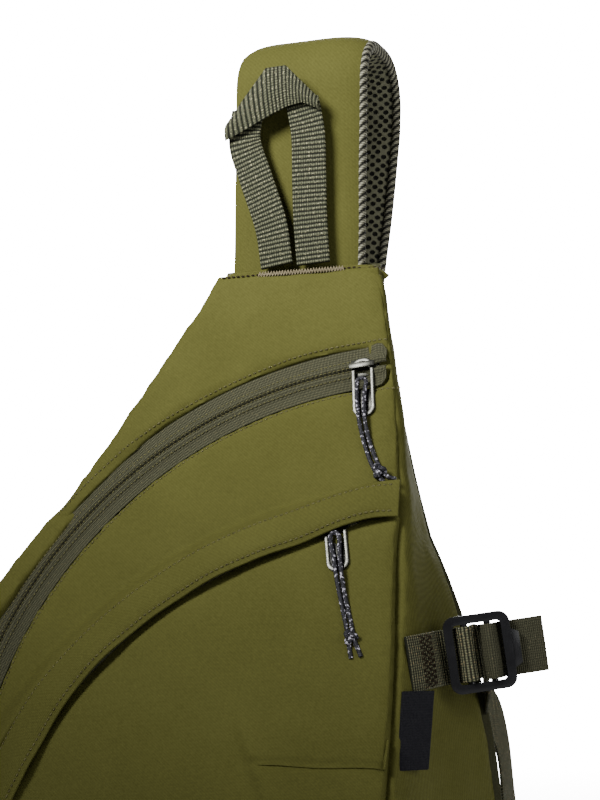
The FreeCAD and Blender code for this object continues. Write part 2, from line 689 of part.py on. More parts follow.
nodes = [
    "upper_front_panel", "main_front_panel", "front_pocket_panel", "storm_flap", "pocket_top_wall",
    "top_panel", "right_gusset", "bottom_panel", "left_gusset", "back_lining", "back_foam", "back_mesh",
    "grab_handle", "strap_webbing", "webbing_tail", "side_stub", "ladder_lock", "side_label",
]
nodes += [f"strap_{run}_{layer}" for run in ("front", "bend", "rear") for layer in ("mesh", "foam", "cover")]
for prefix in ("main_zip", "pocket_zip"):
    for part in ("upper_tape", "lower_tape", "upper_coil", "lower_coil", "stops", "slider", "puller", "cord", "knot"):
        nodes.append(f"{prefix}_{part}")

for item in doc.Objects:
    if "Invalid" in item.State or "Error" in item.State:
        raise RuntimeError(f"{item.Name} failed: {item.State}")
pieces = {name: doc.getObjectsByLabel(name)[0] for name in nodes}
for name, piece in pieces.items():
    if piece.Shape.isNull() or not piece.Shape.isValid():
        raise RuntimeError(f"{name} has no valid shape")

os.makedirs("parts", exist_ok=True)
for name, piece in pieces.items():
    piece.Shape.exportStep(f"parts/{name}.step")
print(len(pieces), "parts written")
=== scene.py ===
import math
import bpy
import bmesh
from mathutils import Matrix, Vector, noise
from mathutils.bvhtree import BVHTree


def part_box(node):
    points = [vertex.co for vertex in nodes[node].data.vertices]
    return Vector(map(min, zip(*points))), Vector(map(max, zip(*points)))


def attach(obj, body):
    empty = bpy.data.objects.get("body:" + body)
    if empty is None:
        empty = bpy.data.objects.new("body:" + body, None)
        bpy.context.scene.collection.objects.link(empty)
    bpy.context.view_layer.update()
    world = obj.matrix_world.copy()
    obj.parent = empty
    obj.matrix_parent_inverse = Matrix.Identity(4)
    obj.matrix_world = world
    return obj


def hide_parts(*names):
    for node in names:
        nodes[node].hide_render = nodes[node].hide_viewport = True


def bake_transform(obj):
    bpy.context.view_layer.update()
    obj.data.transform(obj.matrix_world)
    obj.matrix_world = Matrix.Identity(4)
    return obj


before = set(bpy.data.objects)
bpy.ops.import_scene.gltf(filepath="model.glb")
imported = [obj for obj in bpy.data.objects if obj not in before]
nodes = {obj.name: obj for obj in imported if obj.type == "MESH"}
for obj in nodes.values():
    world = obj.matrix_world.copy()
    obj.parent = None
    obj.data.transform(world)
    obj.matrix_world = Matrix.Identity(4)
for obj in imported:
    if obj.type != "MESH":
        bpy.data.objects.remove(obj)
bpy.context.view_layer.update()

mm = 0.001
bpy.ops.object.select_all(action="DESELECT")


# Small tools for objects

def only(obj):
    bpy.ops.object.select_all(action="DESELECT")
    obj.select_set(True)
    bpy.context.view_layer.objects.active = obj
    return obj


def smoothed(obj, name, material, angle=50):
    obj.name = obj.data.name = name
    obj.data.materials.clear()
    obj.data.materials.append(material)
    only(obj)
    bpy.ops.object.shade_smooth_by_angle(angle=math.radians(angle))
    return obj


def finish(obj, kind, **settings):  # adds one modifier and applies it
    only(obj)
    modifier = obj.modifiers.new(kind.title(), kind)
    for key, value in settings.items():
        setattr(modifier, key, value)
    bpy.ops.object.modifier_apply(modifier=modifier.name)
    return obj


def editAll(obj, action):
    only(obj)
    bpy.ops.object.mode_set(mode="EDIT")
    bpy.ops.mesh.select_all(action="SELECT")
    action()
    bpy.ops.object.mode_set(mode="OBJECT")
    return obj


def outwards(obj):
    return editAll(obj, lambda: bpy.ops.mesh.normals_make_consistent(inside=False))


def copyOf(nodeName, name):  # a CAD node's mesh, joined up, as a new object
    obj = bpy.data.objects.new(name, nodes[nodeName].data.copy())
    bpy.context.scene.collection.objects.link(obj)
    editAll(obj, lambda: bpy.ops.mesh.remove_doubles(threshold=0.00002))
    return obj


def editFaces(obj, test, action):
    only(obj)
    bpy.ops.object.mode_set(mode="EDIT")
    bpy.ops.mesh.select_mode(type="FACE")
    bpy.ops.mesh.select_all(action="DESELECT")
    bpy.ops.object.mode_set(mode="OBJECT")
    for face in obj.data.polygons:
        face.select = bool(test(face))
    bpy.ops.object.mode_set(mode="EDIT")
    action()
    bpy.ops.object.mode_set(mode="OBJECT")
    return obj


def moveVertices(obj, shift):  # shift gives each vertex's new place, in millimetres
    for vertex in obj.data.vertices:
        vertex.co = Vector(shift(vertex.co / mm)) * mm
    obj.data.update()
    return obj


def smoothStep(low, high, value):
    t = min(1.0, max(0.0, (value - low) / (high - low)))
    return t * t * (3 - 2 * t)


def evenly(fine, count):
    lengths = [0.0]
    for a, b in zip(fine, fine[1:]):
        lengths.append(lengths[-1] + (b - a).length)
    spots, at = [], 0
    for step in range(count):
        want = lengths[-1] * step / (count - 1)
        while at < len(fine) - 2 and lengths[at + 1] < want:
            at += 1
        span = lengths[at + 1] - lengths[at] or 1.0
        spots.append(fine[at].lerp(fine[at + 1], min(1.0, max(0.0, (want - lengths[at]) / span))))
    return spots


def flow(points, count=60):  # a smooth line through the points, in millimetres
    points = [Vector(p) for p in points]
    ends = [points[0] * 2 - points[1]] + points + [points[-1] * 2 - points[-2]]
    fine = []
    for a, b, c, d in zip(ends, ends[1:], ends[2:], ends[3:]):
        for step in range(12):
            t = step / 12
            fine.append(0.5 * (2 * b + (c - a) * t + (2 * a - 5 * b + 4 * c - d) * t * t
                               + (3 * b - a - 3 * c + d) * t ** 3))
    return evenly(fine + [points[-1]], count)


def along(line, u):
    at = min(len(line) - 1.0001, max(0.0, u * (len(line) - 1)))
    return line[int(at)].lerp(line[int(at) + 1], at - int(at))


def lineLength(line):
    return sum((b - a).length for a, b in zip(line, line[1:]))


# shape gives the place at (u, v) in millimetres, and size the cloth's flat size for its weave
def shapedGrid(name, material, cuts, shape, size=(1, 1), thick=0.0, rounding=0.0, offset=0.0):
    bpy.ops.mesh.primitive_grid_add(x_subdivisions=cuts[0], y_subdivisions=cuts[1], size=1)
    obj = bpy.context.active_object
    for corner in obj.data.uv_layers.active.data:
        corner.uv = (corner.uv[0] * size[0] * mm, corner.uv[1] * size[1] * mm)
    moveVertices(obj, lambda p: shape(p.x * mm + 0.5, p.y * mm + 0.5))
    if thick:
        finish(obj, "SOLIDIFY", thickness=thick * mm, offset=offset, use_even_offset=False)
        if rounding:
            finish(obj, "BEVEL", width=rounding * mm, segments=2, limit_method="ANGLE",
                   angle_limit=math.radians(55))
        outwards(obj)
    return smoothed(obj, name, material)


# side and out give a band's width direction and outer side at u, and rise lifts it at (u, v)
def band(name, material, line, side, out, width, rise, thick, cuts, rounding):
    def shape(u, v):
        return along(line, u) + side(u) * ((v - 0.5) * width) + out(u) * rise(u, v)
    return shapedGrid(name, material, cuts, shape, (lineLength(line), width), thick, rounding)


def placed(ahead, side, out, spot):
    place = Matrix((ahead, side, out)).transposed().to_4x4()
    place.translation = spot
    return place


def repeated(obj, places, bevel=0.0):  # one small shape, copied to every place in millimetres
    whole = bmesh.new()
    for place in places:
        before = len(whole.verts)
        whole.from_mesh(obj.data)
        whole.verts.ensure_lookup_table()
        bmesh.ops.transform(whole, matrix=place, verts=whole.verts[before:])
    bmesh.ops.scale(whole, vec=(mm, mm, mm), verts=whole.verts)
    if bevel:
        bmesh.ops.bevel(whole, geom=whole.edges[:], offset=bevel * mm, segments=1, affect="EDGES")
    bmesh.ops.recalc_face_normals(whole, faces=whole.faces)
    whole.to_mesh(obj.data)
    whole.free()
    return obj


def threadBead():  # one stitch before it is placed
    bpy.ops.mesh.primitive_uv_sphere_add(segments=6, ring_count=4, radius=1)
    return bpy.context.active_object


# The bag's two sloping planes: across, up the slope and out of the face, in millimetres

slopes = {"main": (-65.0, math.radians(15.69)), "pocket": (-84.0, math.radians(18.55))}


def onSlope(plane, x, up, out=0.0):
    foot, lean = slopes[plane]
    return Vector((x, foot + up * math.sin(lean) - out * math.cos(lean),
                   up * math.cos(lean) + out * math.sin(lean)))


def fromSlope(plane, p):
    foot, lean = slopes[plane]
    y = p[1] - foot
    return p[0], y * math.sin(lean) + p[2] * math.cos(lean), p[2] * math.sin(lean) - y * math.cos(lean)


def faceOut(plane):
    lean = slopes[plane][1]
    return Vector((0, -math.cos(lean), math.sin(lean)))


def onArc(plane, centre, radius, degrees, out=0.0):
    turn = math.radians(degrees)
    return onSlope(plane, centre[0] + radius * math.cos(turn), centre[1] + radius * math.sin(turn), out)


zipCentre, zipRadius = (92.0, 115.0), 212.0
flapCentre, flapSeam, pocketZipRadius = (100.0, 55.0), 210.9, 203.0


# Materials

def addNode(tree, kind, values=None, **settings):
    made = tree.nodes.new("ShaderNode" + kind)
    for key, value in settings.items():
        setattr(made, key, value)
    for key, value in (values or {}).items():
        if isinstance(value, bpy.types.NodeSocket):
            tree.links.new(value, made.inputs[key])
        else:
            made.inputs[key].default_value = value
    return made


def newMaterial(name, roughness, **sockets):
    material = bpy.data.materials.new(name)
    material.use_nodes = True
    tree = material.node_tree
    shader = tree.nodes["Principled BSDF"]
    shader.inputs["Roughness"].default_value = roughness
    for key, value in sockets.items():
        shader.inputs[key.replace("_", " ")].default_value = value
    return material, tree, shader


def blendOf(tree, factor, first, second):
    mix = addNode(tree, "Mix", data_type="RGBA")
    for socket, value in zip((mix.inputs[0], mix.inputs[6], mix.inputs[7]), (factor, first, second)):
        if isinstance(value, bpy.types.NodeSocket):
            tree.links.new(value, socket)
        else:
            socket.default_value = value if isinstance(value, float) else (*value, 1)
    return mix.outputs[2]


def sums(tree, operation, a, b=0.5):
    return addNode(tree, "Math", {0: a, 1: b}, operation=operation).outputs[0]


def stretch(tree, value, low, high, to=(0.0, 1.0)):
    return addNode(tree, "MapRange", {"Value": value, "From Min": low, "From Max": high,
                                      "To Min": to[0], "To Max": to[1]}).outputs[0]


def waves(tree, vector, wavelength, direction):  # wavelength in millimetres
    return addNode(tree, "TexWave", {"Vector": vector, "Scale": 0.314 / (wavelength * mm)},
                   bands_direction=direction).outputs["Fac"]


def clouds(tree, vector, size, detail=3.0):  # size in millimetres
    return addNode(tree, "TexNoise", {"Vector": vector, "Scale": 1 / (size * mm), "Detail": detail}).outputs["Fac"]


def bumped(tree, shader, layers):  # layers of (height, strength, distance in millimetres)
    normal = None
    for height, strength, distance in layers:
        values = {"Height": height, "Strength": strength, "Distance": distance * mm}
        if normal:
            values["Normal"] = normal
        normal = addNode(tree, "Bump", values).outputs[0]
    tree.links.new(normal, shader.inputs["Normal"])


def clothMaterial(name, dark, light, pitch, roughness=0.8, space="Object", creases=0.5):
    material, tree, shader = newMaterial(name, roughness, Specular_IOR_Level=0.06)
    spot = addNode(tree, "TexCoord").outputs[space]
    second = "Z" if space == "Object" else "Y"
    warp, weft = waves(tree, spot, pitch, "X"), waves(tree, spot, pitch, second)
    twill = waves(tree, spot, pitch * 1.5, "DIAGONAL")
    weave = sums(tree, "MULTIPLY", sums(tree, "ADD", warp, weft), stretch(tree, twill, 0, 1, (0.35, 0.65)))
    patches = clouds(tree, spot, 45)
    fine = clouds(tree, spot, 1.4, 2.0)
    tone = sums(tree, "ADD", sums(tree, "MULTIPLY", weave, 0.3), sums(tree, "MULTIPLY", patches, 0.35))
    tone = sums(tree, "ADD", tone, sums(tree, "MULTIPLY", fine, 0.35))
    tree.links.new(blendOf(tree, stretch(tree, tone, 0.25, 0.95), dark, light), shader.inputs["Base Color"])
    bumped(tree, shader, [(weave, 0.35, 0.25), (clouds(tree, spot, 14), creases, 0.9)])
    return material


def ribMaterial(name, dark, light, rib, fleck=None, amount=0.62, roughness=0.75, direction="X"):
    material, tree, shader = newMaterial(name, roughness, Specular_IOR_Level=0.12)
    spot = addNode(tree, "TexCoord").outputs["UV"]
    ribs = waves(tree, spot, rib, direction)
    cross = waves(tree, spot, 1.15, "Y" if direction == "X" else "X")
    fine = clouds(tree, spot, 0.7, 2.0)
    picks = sums(tree, "MULTIPLY", ribs, stretch(tree, cross, 0.15, 0.75, (0.35, 1.0)))
    tone = sums(tree, "ADD", sums(tree, "MULTIPLY", picks, 0.75), sums(tree, "MULTIPLY", fine, 0.35))
    colour = blendOf(tree, stretch(tree, tone, 0.2, 0.9), dark, light)
    if fleck:
        spots = stretch(tree, clouds(tree, spot, 0.9, 1.0), amount, amount + 0.05)
        colour = blendOf(tree, sums(tree, "MULTIPLY", spots, ribs), colour, fleck)
    tree.links.new(colour, shader.inputs["Base Color"])
    bumped(tree, shader, [(cross, 0.35, 0.2), (ribs, 0.8, 0.45)])
    return material


def holesMaterial(name, dark, light, pitch, space):
    material, tree, shader = newMaterial(name, 0.85, Specular_IOR_Level=0.2)
    spot = addNode(tree, "TexCoord").outputs[space]
    if space == "Object":
        parts = addNode(tree, "SeparateXYZ", {0: spot})
        spot = addNode(tree, "CombineXYZ", {0: parts.outputs[0], 1: parts.outputs[2]}).outputs[0]
    turned = addNode(tree, "Mapping", {"Vector": spot, "Rotation": (0, 0, math.radians(45))}).outputs[0]
    cells = addNode(tree, "TexVoronoi", {"Vector": turned, "Scale": 1 / (pitch * mm), "Randomness": 0.22},
                    voronoi_dimensions="2D").outputs["Distance"]
    knit = stretch(tree, cells, 0.26, 0.4)
    fine = clouds(tree, spot, 0.8, 2.0)
    yarn = blendOf(tree, fine, [c * 0.7 for c in light], light)
    tree.links.new(blendOf(tree, knit, dark, yarn), shader.inputs["Base Color"])
    bumped(tree, shader, [(fine, 0.3, 0.2), (knit, 0.9, 1.2)])
    return material


def metalMaterial(name, colour, roughness):
    material, tree, shader = newMaterial(name, roughness, Metallic=1.0)
    spot = addNode(tree, "TexCoord").outputs["Object"]
    worn = clouds(tree, spot, 3.0, 5.0)
    tree.links.new(blendOf(tree, stretch(tree, worn, 0.35, 0.7), [c * 0.75 for c in colour], colour),
                   shader.inputs["Base Color"])
    tree.links.new(stretch(tree, clouds(tree, spot, 0.6, 4.0), 0.3, 0.7, (roughness * 0.8, roughness * 1.3)),
                   shader.inputs["Roughness"])
    bumped(tree, shader, [(clouds(tree, spot, 0.5, 3.0), 0.08, 0.1)])
    return material


def plasticMaterial(name, colour, roughness, grain=0.05):
    material, tree, shader = newMaterial(name, roughness, Specular_IOR_Level=0.3)
    spot = addNode(tree, "TexCoord").outputs["Object"]
    scuffs = clouds(tree, spot, 6.0, 6.0)
    tree.links.new(blendOf(tree, scuffs, [c * 0.7 for c in colour], [c * 1.4 for c in colour]),
                   shader.inputs["Base Color"])
    tree.links.new(stretch(tree, scuffs, 0.3, 0.7, (roughness * 0.8, roughness * 1.3)), shader.inputs["Roughness"])
    bumped(tree, shader, [(clouds(tree, spot, 0.5, 3.0), grain, 0.1)])
    return material


def cordMaterial(name, dark, light, fleck):
    material, tree, shader = newMaterial(name, 0.6, Specular_IOR_Level=0.3)
    spot = addNode(tree, "TexCoord").outputs["Object"]
    braid = sums(tree, "MULTIPLY", waves(tree, spot, 1.0, "DIAGONAL"), waves(tree, spot, 0.9, "Z"))
    colour = blendOf(tree, braid, dark, light)
    spots = stretch(tree, clouds(tree, spot, 1.3, 1.0), 0.6, 0.64)
    tree.links.new(blendOf(tree, spots, colour, fleck), shader.inputs["Base Color"])
    bumped(tree, shader, [(braid, 0.7, 0.25)])
    return material


oliveTones = {"dark": (0.056, 0.0555, 0.0125), "light": (0.112, 0.112, 0.030), "pitch": 0.6}
olive = clothMaterial("oliveCloth", **oliveTones)
oliveStrap = clothMaterial("oliveStrapCloth", **oliveTones, space="UV")
liningCloth = clothMaterial("liningCloth", (0.03, 0.03, 0.015), (0.06, 0.06, 0.03), 0.8, 0.7)
bindingCloth = ribMaterial("bindingTape", (0.006, 0.006, 0.005), (0.34, 0.33, 0.24), 1.9, direction="DIAGONAL")
handleCloth = ribMaterial("handleWebbing", (0.006, 0.007, 0.004), (0.125, 0.13, 0.078), 2.1, (0.36, 0.34, 0.2))
webbingCloth = ribMaterial("ribbedWebbing", (0.010, 0.011, 0.006), (0.17, 0.17, 0.10), 1.5, (0.33, 0.25, 0.13))
tailCloth = ribMaterial("smoothWebbing", (0.03, 0.03, 0.018), (0.075, 0.073, 0.042), 0.9, (0.2, 0.16, 0.1), 0.7)
zipCloth = ribMaterial("zipTape", (0.026, 0.026, 0.015), (0.13, 0.13, 0.075), 0.7, (0.2, 0.17, 0.08), 0.66)
stitchThread = ribMaterial("oliveThread", (0.16, 0.15, 0.06), (0.3, 0.28, 0.13), 0.3)
brownThread = ribMaterial("brownThread", (0.03, 0.02, 0.012), (0.08, 0.055, 0.03), 0.3)
paleThread = ribMaterial("paleThread", (0.30, 0.25, 0.15), (0.5, 0.43, 0.28), 0.4, roughness=0.45)
strapMesh = holesMaterial("strapMesh", (0.007, 0.007, 0.005), (0.2, 0.2, 0.13), 3.5, "UV")
backMesh = holesMaterial("backMesh", (0.007, 0.007, 0.005), (0.14, 0.14, 0.09), 3.5, "Object")
gunmetal = metalMaterial("gunmetal", (0.06, 0.06, 0.052), 0.3)
blackPlastic = plasticMaterial("blackAcetal", (0.010, 0.010, 0.011), 0.2)
coilPlastic = plasticMaterial("zipCoil", (0.05, 0.048, 0.025), 0.4, 0.2)
cordCloth = cordMaterial("pullCord", (0.008, 0.008, 0.01), (0.035, 0.033, 0.045), (0.42, 0.4, 0.46))
labelCloth = ribMaterial("satinLabel", (0.004, 0.004, 0.006), (0.011, 0.011, 0.015), 0.5, roughness=0.6)
print("materials made")


# Camera, floor and lights

view = {"at": (340.5, -816.9, 205.0), "turn": 20.0, "lens": 85.5, "shift": 0.25}
bpy.ops.object.camera_add(location=[v * mm for v in view["at"]],
                          rotation=(math.radians(90), 0, math.radians(view["turn"])))
camera = bpy.context.active_object
camera.data.lens = view["lens"]
camera.data.sensor_width = 36
camera.data.shift_y = view["shift"]
camera.data.clip_start = 0.02
bpy.context.scene.camera = camera

floorMaterial, tree, shader = newMaterial("paleFloorPaintedGlow", 0.9)
spot = addNode(tree, "TexCoord").outputs["Object"]
paint = blendOf(tree, clouds(tree, spot, 400), (0.86, 0.86, 0.86), (0.9, 0.9, 0.9))
tree.links.new(paint, shader.inputs["Base Color"])
# Painted light: for camera rays only, the floor glows. The glow rises from 0.8 within 0.1 m of its centre to 24 at
# 2.6 m and beyond, so the far floor fades into the white backdrop. It lights nothing else.
shader.inputs["Emission Color"].default_value = (1, 1, 1, 1)
far = addNode(tree, "VectorMath", {0: spot}, operation="LENGTH").outputs["Value"]
seen = addNode(tree, "LightPath").outputs["Is Camera Ray"]
paintedGlow = sums(tree, "MULTIPLY", seen, stretch(tree, far, 0.1, 2.6, (0.8, 24.0)))
tree.links.new(paintedGlow, shader.inputs["Emission Strength"])
bpy.ops.mesh.primitive_plane_add(size=40, location=(0, 0, 0))
floor = bpy.context.active_object
editFaces(floor, lambda face: True, lambda: bpy.ops.mesh.subdivide(number_cuts=6))
floor.name = "floor"
floor.data.materials.append(floorMaterial)

sky = {"asLight": 0.085, "asBackground": 24.0}
world = bpy.data.worlds.new("studio")
bpy.context.scene.world = world
world.use_nodes = True
backdrop = world.node_tree.nodes["Background"]
backdrop.inputs[0].default_value = (1.0, 1.0, 1.0, 1)
seen = addNode(world.node_tree, "LightPath").outputs["Is Camera Ray"]
world.node_tree.links.new(stretch(world.node_tree, seen, 0, 1, (sky["asLight"], sky["asBackground"])),
                          backdrop.inputs[1])

# place, size, power, cone in degrees or 0 for a soft panel, and what it points at
lamps = {"key": ((-0.35, -0.75, 0.88), 0.22, 128.0, 42.0, (0.02, 0.04, 0.46)),
         "side": ((1.25, -0.55, 0.75), 0.9, 9.0, 0.0, (0.08, 0.02, 0.3)),
         "rear": ((-0.35, 1.6, 1.0), 1.1, 60.0, 0.0, (0.02, 0, 0.25))}
for lampName, (spot, size, power, cone, aim) in lamps.items():
    bpy.ops.object.light_add(type="SPOT" if cone else "AREA", location=spot)
    lamp = bpy.context.active_object
    lamp.name = lampName + "Lamp"
    lamp.data.energy = power
    if cone:
        lamp.data.shadow_soft_size = size
        lamp.data.spot_size = math.radians(cone)
        lamp.data.spot_blend = 1.0
    else:
        lamp.data.size = size
    lamp.rotation_euler = (Vector(aim) - Vector(spot)).to_track_quat("-Z", "Y").to_euler()
print("camera and lights placed")


# Pull cords: doubled, knotted, both cut ends free below the knot

cords = {
    "main_zip": {
        "body": "main_pull", "length": 0.115, "exit": (0.0792, 0.0058, 0.2637), "knot": (79.2, 5.8, 263.7),
        "route": [(0.0870, 0.0064, 0.2599), (0.0840, 0.0064, 0.2603), (0.0802, 0.0068, 0.2636),
                  (0.0763, 0.0090, 0.2695), (0.0728, 0.0112, 0.2778), (0.0703, 0.0122, 0.2868),
                  (0.0690, 0.0146, 0.2955), (0.0690, 0.0167, 0.3025), (0.0692, 0.0181, 0.3066),
                  (0.0669, 0.0186, 0.3081), (0.0646, 0.0181, 0.3067), (0.0649, 0.0167, 0.3027),
                  (0.0659, 0.0144, 0.2950), (0.0676, 0.0122, 0.2868), (0.0702, 0.0110, 0.2773),
                  (0.0738, 0.0088, 0.2686), (0.0780, 0.0063, 0.2620), (0.0808, 0.0062, 0.2593),
                  (0.0828, 0.0057, 0.2572)]},
    "pocket_zip": {
        "body": "pocket_pull", "length": 0.1238, "exit": (0.0754, -0.0239, 0.1887), "knot": (75.4, -23.9, 188.7),
        "route": [(0.0808, -0.0251, 0.1801), (0.0786, -0.0240, 0.1840), (0.0766, -0.0229, 0.1889),
                  (0.0740, -0.0198, 0.1963), (0.0709, -0.0170, 0.2054), (0.0684, -0.0151, 0.2153),
                  (0.0663, -0.0120, 0.2248), (0.0656, -0.0098, 0.2308), (0.0648, -0.0083, 0.2348),
                  (0.0625, -0.0080, 0.2357), (0.0605, -0.0085, 0.2340), (0.0616, -0.0100, 0.2300),
                  (0.0637, -0.0122, 0.2243), (0.0658, -0.0151, 0.2153), (0.0684, -0.0168, 0.2058),
                  (0.0714, -0.0197, 0.1966), (0.0742, -0.0231, 0.1884), (0.0750, -0.0240, 0.1838),
                  (0.0762, -0.0254, 0.1793)]},
}


def smoothCurve(name, points, diameter, material, closed=False):  # points in metres
    data = bpy.data.curves.new(name, "CURVE")
    data.dimensions = "3D"
    spline = data.splines.new("NURBS")
    spline.points.add(len(points) - 1)
    for target, point in zip(spline.points, points):
        target.co = (*point, 1)
    spline.order_u = 3
    spline.use_endpoint_u = not closed
    spline.use_cyclic_u = closed
    spline.resolution_u = 6
    data.bevel_depth = diameter / 2
    data.bevel_resolution = 3
    data.use_fill_caps = True
    data.materials.append(material)
    made = bpy.data.objects.new(name, data)
    bpy.context.scene.collection.objects.link(made)
    return made


def overhandKnot(name, centre, tilt):  # three crossing turns drawn tight
    centre = Vector(centre)
    points = []
    for step in range(24):
        t = 2 * math.pi * step / 24
        local = Vector((1.05 * (math.sin(t) + 1.5 * math.sin(2 * t)), 0.85 * math.sin(3 * t),
                        1.15 * (math.cos(t) - 1.5 * math.cos(2 * t))))
        local.rotate(Matrix.Rotation(tilt, 3, "Y"))
        points.append((centre + local) * mm)
    return smoothCurve(name, points, 0.0024, cordCloth, closed=True)


for prefix, facts in cords.items():
    line = smoothCurve(f"{prefix}_pull_cord", facts["route"], 0.002, cordCloth)
    knot = overhandKnot(f"{prefix}_cord_knot", facts["knot"], 0.5)
    only(knot)
    bpy.ops.object.convert(target="MESH")
    knot = smoothed(bpy.context.active_object, f"{prefix}_cord_knot", cordCloth)
    for piece in (line, knot):
        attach(piece, facts["body"])
    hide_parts(f"{prefix}_cord")
    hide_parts(f"{prefix}_knot")
print("cords laid")


# Padded fabric: each panel is thickened, remeshed and blown up a little by the cloth solver

padding = {"pressure": 4.0, "most": 1.8, "shrink": 0.8, "mass": 0.25, "stiff": 0.4, "steps": 20, "floor": 0.2}


def inflate(obj):
    scene = bpy.context.scene
    start = [vertex.co.copy() for vertex in obj.data.vertices]
    cloth = obj.modifiers.new("Cloth", "CLOTH")
    cloth.settings.quality = 4
    cloth.settings.mass = padding["mass"]
    cloth.settings.bending_stiffness = padding["stiff"]
    cloth.settings.use_pressure = True
    cloth.settings.uniform_pressure_force = padding["pressure"]
    cloth.settings.effector_weights.gravity = 0
    cloth.collision_settings.use_collision = False
    cloth.point_cache.frame_start, cloth.point_cache.frame_end = 1, padding["steps"]
    for frameNumber in range(1, padding["steps"] + 1):
        scene.frame_set(frameNumber)
    blown = obj.evaluated_get(bpy.context.evaluated_depsgraph_get()).data
    moved = [vertex.co.copy() for vertex in blown.vertices]
    obj.modifiers.remove(cloth)
    for vertex, before, after in zip(obj.data.vertices, start, moved):
        step = after - before
        if step.length > padding["most"] * mm:
            step *= padding["most"] * mm / step.length
        vertex.co = before + step
    obj.data.update()
    scene.frame_set(1)
    return obj


def crumple(p, size, depth, seed):
    return depth * noise.fractal(Vector(p) / size + Vector((seed, 0, 0)), 1.0, 2.0, 3)


def makePad(name, source, material, inner, depth, voxel, hull, shape):
    obj = copyOf(source, name)
    if hull:
        editAll(obj, lambda: bpy.ops.mesh.convex_hull())
    else:
        editFaces(obj, inner, lambda: bpy.ops.transform.shrink_fatten(value=depth * mm))
    obj.data.remesh_voxel_size = voxel * mm
    only(obj)
    bpy.ops.object.voxel_remesh()
    editAll(obj, lambda: bpy.ops.transform.shrink_fatten(value=-padding["shrink"] * mm))
    inflate(obj)
    finish(obj, "SUBSURF", levels=1, render_levels=1)
    if shape:
        moveVertices(obj, shape)
    moveVertices(obj, lambda p: (p.x, p.y, max(padding["floor"], p.z)))
    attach(obj, "bag")
    return smoothed(obj, name, material, 180)


def pocketGap(z):  # how far the pocket's face stands in front of the main panel's, in millimetres
    return 19.0 - 0.0547 * z


def mainSwell(p):  # the main panel climbs to the flap's seam, and sinks under the flap
    x, up, out = fromSlope("main", p)
    fromZip = zipRadius - 8.5 - math.hypot(x - zipCentre[0], up - zipCentre[1])
    acrossPocket, upPocket = fromSlope("pocket", p)[:2]
    fromFlap = math.hypot(acrossPocket - flapCentre[0], upPocket - flapCentre[1]) - flapSeam
    if out < -9:
        return p
    reach = min(max(7.0, 1.6 * pocketGap(p[2])), fromZip + fromFlap)
    climb = 1 - smoothStep(0, reach, fromFlap) if fromFlap > 0 else 1 - smoothStep(0, 6, -fromFlap) * 1.25
    lift = climb * (pocketGap(p[2]) + 0.8) + crumple(p, 38, 0.8, 3) * smoothStep(0, 25, fromZip)
    return p + faceOut("main") * lift * smoothStep(-9, -3, out)


def upperSwell(p):
    x, up, out = fromSlope("main", p)
    if out < -6:
        return p
    soft = crumple(p, 30, 0.9, 9)
    fold = math.exp(-((x - 62) / 14) ** 2) * math.exp(-((up - 348) / 12) ** 2)
    ridge = math.sin((x * 0.8 + up * 0.6) / 6.0) * 1.7 * fold
    return p + faceOut("main") * (soft + ridge)


dart = {"up": 139.5, "left": 34.0, "right": 96.5, "deep": 1.6}


def pocketSwell(p):
    x, up, out = fromSlope("pocket", p)
    if out < -7:
        return p
    lift = crumple(p, 45, 0.9, 5) - 0.4
    near = math.exp(-((up - dart["up"] - 1) / 2.2) ** 2) * smoothStep(dart["left"] - 8, dart["left"] + 6, x)
    above = math.exp(-((up - dart["up"] - 16) / 10) ** 2) * smoothStep(dart["left"] - 12, dart["left"] + 30, x)
    aslant = x - dart["left"] + 0.5 * (up - dart["up"])
    pucker = math.exp(-(aslant / 5.5) ** 2) * math.exp(-((up - dart["up"]) / 22) ** 2)
    lift += 1.5 * math.sin(aslant / 3.2) * pucker
    lift += -dart["deep"] * near + 1.8 * above
    away = Vector((x - flapCentre[0], 0, up - flapCentre[1]))
    turn = math.degrees(math.atan2(away.z, away.x))
    rise = 4.0 + 5.5 * (1 - smoothStep(96, 112, turn))  # the upper edge goes up under the flap
    rise *= smoothStep(172, 196, away.length) * smoothStep(60, 88, turn)
    lift -= 1.2 * smoothStep(186, 197, away.length)
    away.normalize()
    return onSlope("pocket", x + away.x * rise, up + away.z * rise, out + lift)


def wallSwell(p):  # the walls reach forward to the pocket's face where the pocket stands out
    deep = -fromSlope("main", p)[2]
    side = 1 if p[0] > 0 else -1
    forward = (1 - smoothStep(2, 26, deep)) * (1 - smoothStep(240, 256, p[2]))
    moved = p + faceOut("main") * forward * (pocketGap(p[2]) - 1.5)
    moved += Vector((side, 0, 0)) * (crumple(p, 32, 0.9, 7) + 1.6 * forward)
    moved.z = min(moved.z, 357.5 + 0.25 * max(0.0, moved.z - 357.5))
    return moved


def backSwell(p):
    if p[1] < 54:
        return p
    return p + Vector((0, 1, 0)) * (crumple(p, 50, 1.0, 2) + 2.5 * math.exp(-((p[0] + 5) / 70) ** 2))


